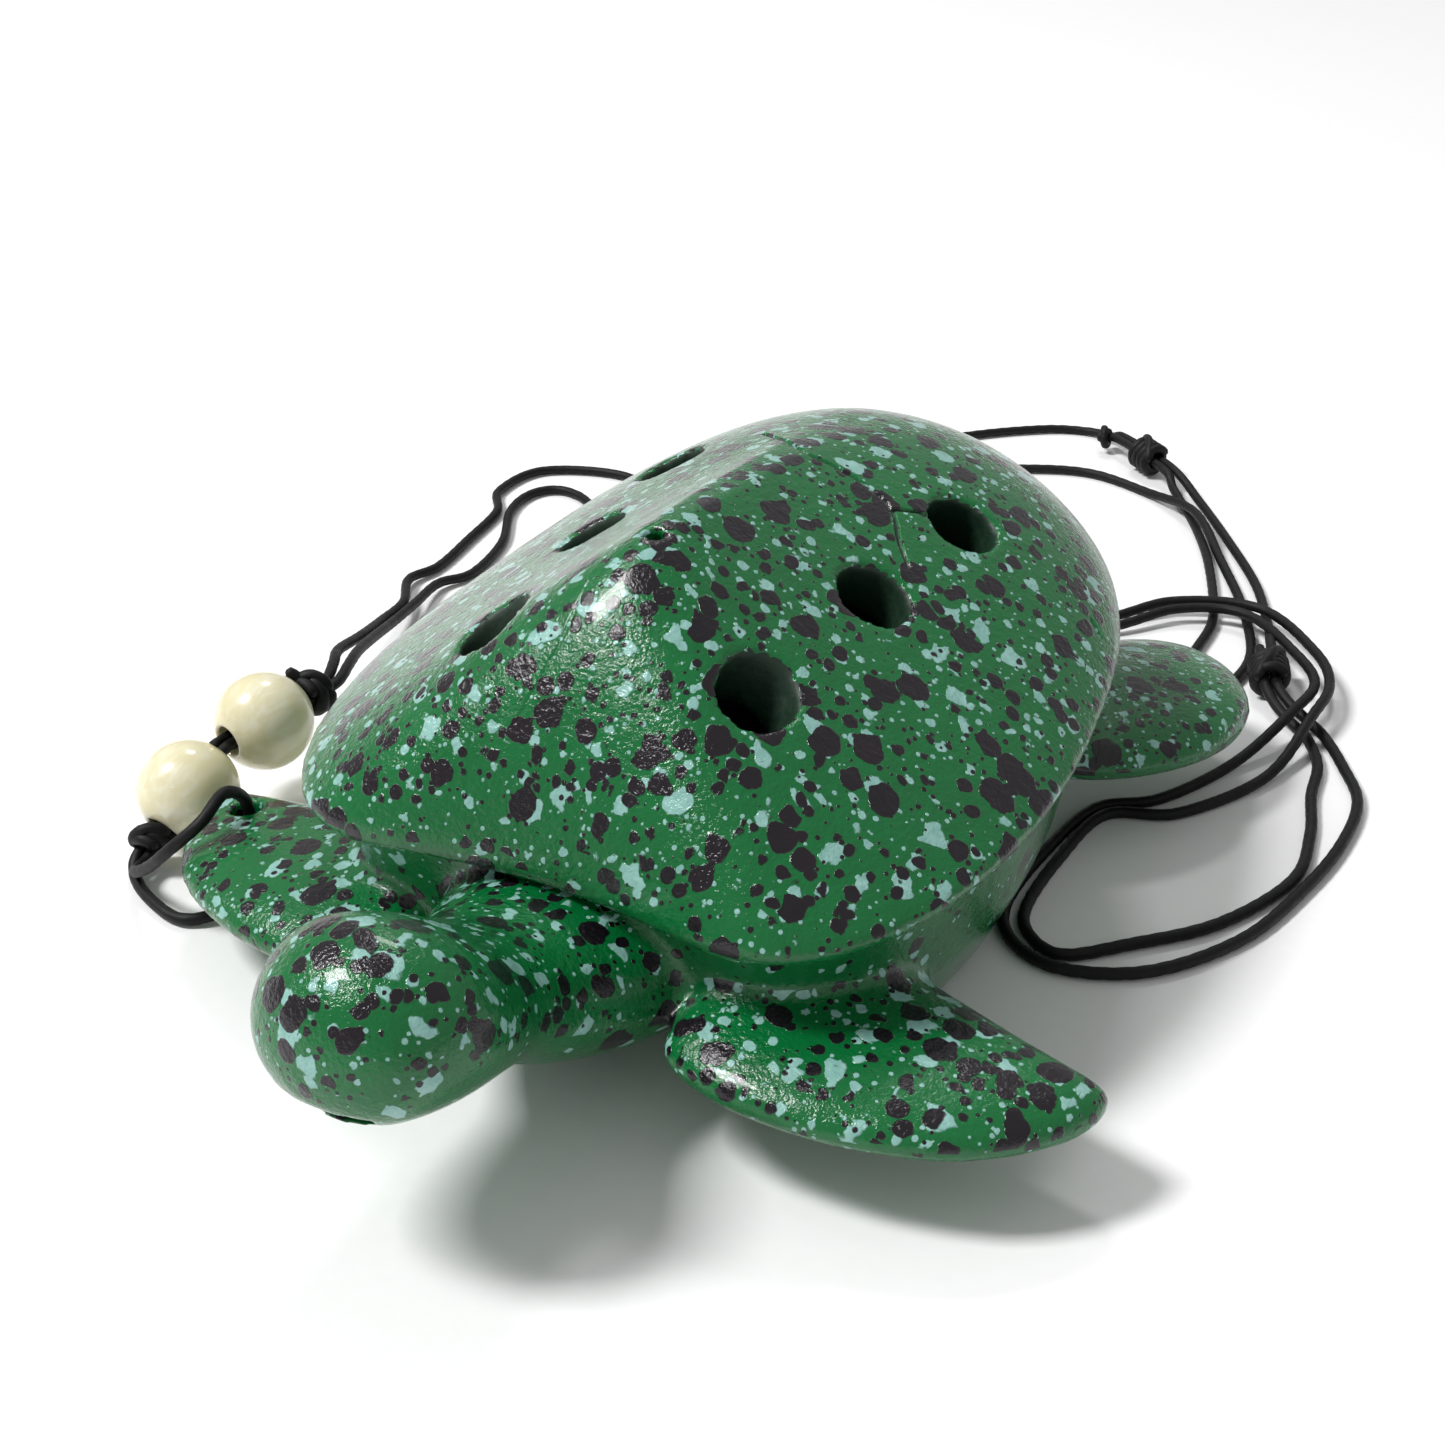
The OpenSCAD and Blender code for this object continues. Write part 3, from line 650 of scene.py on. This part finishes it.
def dome_ring(s, wall=0, shrink=1):
    """A ring of the dome: s is 0 on the ridge and 1 at the rim."""
    u = round_the_rim
    ease = 0.5 - 0.5 * np.cos(math.pi * u)
    ridge_y = RIDGE_Y[0] + (RIDGE_Y[1] - RIDGE_Y[0]) * ease
    front, middle, rear = RIDGE_Z
    top = (front * (1 - ease) * (1 - 2 * ease) + 4 * middle * ease * (1 - ease)
           + rear * ease * (2 * ease - 1)) - wall
    sideways = np.sin(math.pi * u) ** 2
    p = 1.12 * sideways + np.where(u < 0.5, 1.5, 1.8) * (1 - sideways)
    q = 1.08 * sideways + np.where(u < 0.5, 1.3, 1.7) * (1 - sideways)
    low = plane_z(ridge_y + (rim[:, 1] - ridge_y) * shrink) - (LIP_H if wall else 0)
    return np.column_stack([rim[:, 0] * s * shrink, ridge_y + (rim[:, 1] - ridge_y) * s * shrink,
                            low + (top - low) * np.maximum(1 - s ** p, 0) ** (1 / q)])


def body_ring(s, z=None):
    """The rim scaled about the body's middle, level or in the seam plane."""
    y = BODY_Y + (rim[:, 1] - BODY_Y) * s
    return np.column_stack([rim[:, 0] * s, y, plane_z(y) - LIP_H if z is None else np.full(len(y), z)])


def ring_object(name, rings):
    """A closed solid between rings of points in mm, each end closed by a fan round its middle."""
    n, m = len(rings[0]), len(rings)
    points = np.vstack([*rings, rings[0].mean(axis=0), rings[-1].mean(axis=0)])
    faces = ring_faces(m, n)
    faces += [(m * n, (j + 1) % n, j) for j in range(n)]
    faces += [(m * n + 1, (m - 1) * n + j, (m - 1) * n + (j + 1) % n) for j in range(n)]
    return outward(add_object(name, points * MM, faces, None))


def strip_object(name, rings):
    """The same, with each end closed by a strip across it."""
    n, m = len(rings[0]), len(rings)
    faces = ring_faces(m, n)
    for base in (0, (m - 1) * n):
        for j in range(n // 2):
            face = [base + j, base + j + 1, base + (n - j - 1) % n, base + (n - j) % n]
            faces.append(tuple(dict.fromkeys(face)))
    return outward(add_object(name, np.vstack(rings) * MM, faces, None))


def outward(obj):
    """Turns a closed mesh's faces outward."""
    bm = bmesh.new()
    bm.from_mesh(obj.data)
    bmesh.ops.recalc_face_normals(bm, faces=bm.faces)
    bm.to_mesh(obj.data)
    bm.free()
    return obj


def box_object(name, low, high, turn):
    """A box between two corners in mm, then turned and moved by a matrix in mm."""
    corners = [turn @ Vector([(low, high)[k >> i & 1][i] for i in range(3)]) * MM for k in range(8)]
    faces = [(0, 1, 3, 2), (4, 6, 7, 5), (0, 4, 5, 1), (2, 3, 7, 6), (0, 2, 6, 4), (1, 5, 7, 3)]
    return outward(add_object(name, corners, faces, None))


def rod_object(name, centre, direction, d, h):
    """A round cutter about centre, d mm thick and h mm long."""
    turn = Vector(direction).to_track_quat("Z", "Y").to_matrix()
    rings = []
    for z in (-h / 2, h / 2):
        ring = []
        for j in range(ROD_SIDES):
            a = 2 * math.pi * j / ROD_SIDES
            ring.append(Vector(centre) + turn @ Vector((d / 2 * math.cos(a), d / 2 * math.sin(a), z)))
        rings.append(np.array(ring))
    return ring_object(name, rings)


def combine(obj, others, operation):
    """Union or difference with closed solids, which are used up."""
    for other in others:
        cut = obj.modifiers.new("cut", "BOOLEAN")
        cut.operation = operation
        cut.solver = "MANIFOLD"
        cut.object = other
    settle(obj)
    for other in others:
        bpy.data.objects.remove(other)


def settle(obj):
    """Makes a piece's modifiers part of its mesh."""
    shape = obj.evaluated_get(bpy.context.evaluated_depsgraph_get())
    mesh = bpy.data.meshes.new_from_object(shape)
    obj.modifiers.clear()
    obj.data = mesh
    mesh.shade_smooth()


def remesh(obj, size, passes):
    """An even mesh of size mm, smoothed so that its edges are as round as worn paint."""
    grid = obj.modifiers.new("grid", "REMESH")
    grid.mode = "VOXEL"
    grid.voxel_size = size * MM
    soft = obj.modifiers.new("soft", "SMOOTH")
    soft.iterations = passes
    soft.factor = 0.5
    settle(obj)


def flipper(name, outline, root, tip, top, under, place=Matrix()):
    """A flipper of lens section: outline from its root round the leading edge and back."""
    o = closed_curve(outline, 8)
    n = len(o)
    u = np.minimum(np.arange(n), n - np.arange(n)) / (n / 2)
    c = np.array(root) + np.outer(u, np.array(tip) - np.array(root))
    rings = []
    for a in np.linspace(FLIPPER_END, -FLIPPER_END, FLIPPER_RINGS):
        s, k = math.cos(math.radians(a)), math.sin(math.radians(a))
        heights = top if a > 0 else under
        flat = c[:, :2] + (o - c[:, :2]) * s
        rings.append(np.column_stack([flat, c[:, 2] + k * (heights[0] + (heights[1] - heights[0]) * u)]))
    obj = strip_object(name, rings)
    obj.data.transform(Matrix.Scale(MM, 4) @ place @ Matrix.Scale(1 / MM, 4))
    return outward(obj)


def head():
    """Head and neck: ovals of half width w and half height h along the middle."""
    a = np.linspace(0, 2 * math.pi, HEAD_SIDES, endpoint=False)
    rings = []
    for y, z, w, h in open_curve(HEAD, 8):
        rings.append(np.column_stack([w * np.sin(a), np.full(HEAD_SIDES, y), z + h * np.cos(a)]))
    return ring_object("head_blank", rings)


def windway_cutter():
    """The flat air way from in front of the mouth down to the window."""
    angle = math.atan2(MOUTH[1] - WINDOW[1], WINDOW[0] - MOUTH[0])
    place = Matrix.Translation((0, MOUTH[0], MOUTH[1])) @ Matrix.Rotation(-angle, 4, "X")
    length = float(np.linalg.norm(WINDOW - MOUTH))
    return box_object("windway", (-WINDWAY_W / 2, -3, 0), (WINDWAY_W / 2, length, WINDWAY_H), place)


def window_cutter():
    """The sound window in the belly, with its sloping edge."""
    rings = [np.array([[x, y, z] for y, z in WINDOW_SIDE]) for x in (-WINDWAY_W / 2, WINDWAY_W / 2)]
    return ring_object("window", rings)


def carve(obj, paths, width, depth):
    """Cuts fine grooves along paths, on a mesh made finer beside them.
    It returns the numbers of the faces in the grooves."""
    near = [obj.closest_point_on_mesh(Vector(p) * MM)[1] for path in paths
            for p in evenly(open_curve(path, 6), 0.08)]
    tree = nearest(near)
    bm = bmesh.new()
    bm.from_mesh(obj.data)
    for reach in (0.9, 0.5):
        close = {v for v in bm.verts if tree.find(v.co)[2] < reach * MM}
        edges = [e for e in bm.edges if e.verts[0] in close and e.verts[1] in close]
        bmesh.ops.subdivide_edges(bm, edges=edges, cuts=1, use_grid_fill=True)
    bm.normal_update()
    bm.faces.index_update()
    cut = {f.index for f in bm.faces if tree.find(f.calc_center_median())[2] < 0.6 * width * MM}
    moves = []
    for v in bm.verts:
        distance = tree.find(v.co)[2] / MM
        if distance < width:
            moves.append((v, v.normal * depth * MM * (1 - (distance / width) ** 2)))
    for v, move in moves:
        v.co -= move
    bm.to_mesh(obj.data)
    bm.free()
    obj.data.shade_smooth()
    return cut


def nearest(points):
    """A tree that finds the nearest of these points."""
    tree = KDTree(len(points))
    for i, p in enumerate(points):
        tree.insert(Vector(p), i)
    tree.balance()
    return tree


def finger_axes():
    """A point on each finger hole's axis and the axis's direction."""
    for x, y, lean in FINGERS:
        for side in (1, -1):
            turn = Matrix.Rotation(math.radians(side * FINGER_TILT), 3, "Y") @ Matrix.Rotation(
                math.radians(lean), 3, "X")
            yield Vector((side * x, y, 33)), turn @ Vector((0, 0, 1))


def paint_bore_shade(obj, cuts):
    """Puts the second material, a painted shade, on the walls of the finger holes, inside the chamber and
    in the cracks.
    """
    axes = list(finger_axes())
    reach = FINGER_D / 2 + 0.15
    for face in obj.data.polygons:
        spot = face.center / MM
        in_bore = any((spot - c).cross(way).length < reach and abs(face.normal.dot(way)) < 0.5
                      for c, way in axes)
        # faces where shade falls (cracks, finger holes, chamber walls) get the painted shade
        dark = face.index in cuts or in_bore or in_chamber(spot, face.normal)
        face.material_index = 1 if dark else 0


def in_chamber(spot, normal):
    """True on the chamber's own walls, which face its middle."""
    to_middle = Vector((0, 9, 20)) - spot
    inside = (spot.x / 27) ** 2 + ((spot.y - 9) / 32) ** 2 < 1 and 5 < spot.z < 37.5
    return inside and normal.dot(to_middle) > 0


# where the shell is cracked and scratched
CRACKS = [[(-5.9, 19.7, 39.8), (0.7, 13.9, 41.5), (4.3, 14.0, 40.4), (7.5, 14.1, 39.1), (10.4, 13.3, 37.8),
           (12.7, 10.1, 36.4), (14.6, 8.1, 35.2)],
          [(10.4, 13.3, 37.8), (12.1, 15.3, 37.1), (13.6, 16.5, 36.5)],
          [(27.2, 20.7, 27.7), (28.4, 20.0, 26.6)]]
SCRATCH = [(-2.9, -14.7, 39.8), (-3.1, -19.9, 35.6), (-4.7, -24.3, 29.8)]


def carved_shell(fine):
    """The shell: hollow below, lip round its rim, six finger holes and the small one on the ridge."""
    slopes = np.linspace(0.03, 1, 60) ** 0.9
    outer = [dome_ring(s) for s in slopes]
    inner = [dome_ring(s, CROWN_WALL, CHAMBER_S) for s in np.linspace(0.98, 0.05, 24)]
    shell = strip_object("carved_shell", outer + [body_ring(0.99), body_ring(CHAMBER_S)] + inner)
    ridge_way = Matrix.Rotation(math.radians(RIDGE_LEAN), 3, "X") @ Vector((0, 0, 1))
    holes = [rod_object("finger_rod", place, way, FINGER_D, DEEP_CUT) for place, way in finger_axes()]
    holes.append(rod_object("ridge_rod", (0, RIDGE_HOLE_Y, 36), ridge_way, RIDGE_HOLE_D, SHORT_CUT))
    combine(shell, holes, "DIFFERENCE")
    remesh(shell, fine, SHELL_PASSES)
    carve(shell, [SCRATCH], *SCRATCH_CUT)
    return shell, carve(shell, CRACKS, *CRACK_CUT)


def limbs():
    """The head and the four flippers, before they become one with the body."""
    mirror = Matrix.Scale(-1, 4, (1, 0, 0))
    right = (mirror @ Matrix.Translation((*FLIPPER_PIVOT, 0))
             @ Matrix.Rotation(math.radians(RIGHT_SWEEP), 4, "Z")
             @ Matrix.Translation((-FLIPPER_PIVOT[0], -FLIPPER_PIVOT[1], -RIGHT_DROP)))
    front = (FRONT, [17, -23, 8.8], [42, -22.5, 7.8], [4.6, 2.4], [3.6, 2])
    rear = (REAR, [18, 38, 9.4], [34, 44, 8], [4.6, 2.6], [3.8, 2])
    return [head(), flipper("left_front", *front), flipper("right_front", *front, place=right),
            flipper("left_rear", *rear), flipper("right_rear", *rear, place=mirror)]


def carved_body(fine):
    """The body with head and flippers in one piece of wood, and the chamber and windway cut in it."""
    block = ring_object("carved_body", [body_ring(BODY_TOP)] + [body_ring(s, z) for s, z in BODY_RINGS])
    combine(block, limbs(), "UNION")
    remesh(block, fine * BLOCK_COARSER, BLOCK_PASSES)
    chamber = ring_object("chamber", [body_ring(s, z) for s, z in CHAMBER_RINGS])
    cord_hole = rod_object("cord_rod", (*CORD_HOLE, 8), (0, 0, 1), CORD_HOLE_D, 12)
    combine(block, [chamber, windway_cutter(), window_cutter(), cord_hole], "DIFFERENCE")
    remesh(block, fine, BODY_PASSES)
    return block


# the mesh size of the wood in mm
FINE = 0.45
shell, cracks = carved_shell(FINE)
body = carved_body(FINE)
LACQUER = speckled_lacquer()
# dark green painted shade for the finger holes, the chamber and the cracks
BORE = painted_bore_shade()
for piece, node, cuts in ((shell, "carapace", cracks), (body, "lower_body", ())):
    piece.data.materials.clear()
    piece.data.materials.append(LACQUER)
    piece.data.materials.append(BORE)
    paint_bore_shade(piece, cuts)
    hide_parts(node)
    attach(piece, "turtle")
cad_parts["windway_plug"].material_slots[0].material = LACQUER


# ---- floor, light and the end ----
FLOOR = 1800
CORNERS = ((-1, -1), (1, -1), (1, 1), (-1, 1))
floor = add_object("floor", [Vector((x * FLOOR, y * FLOOR, 0)) * MM for x, y in CORNERS],
                   [(0, 1, 2, 3)], paper(), smooth=False)
MIDDLE = (0, 10, 15)
add_world(0.42)
add_area("key", (-680, -440, 1150), MIDDLE, (260, 380), 18)
add_area("rear", (-420, 700, 1120), MIDDLE, (240, 160), 3)
scene.view_settings.view_transform = "Standard"
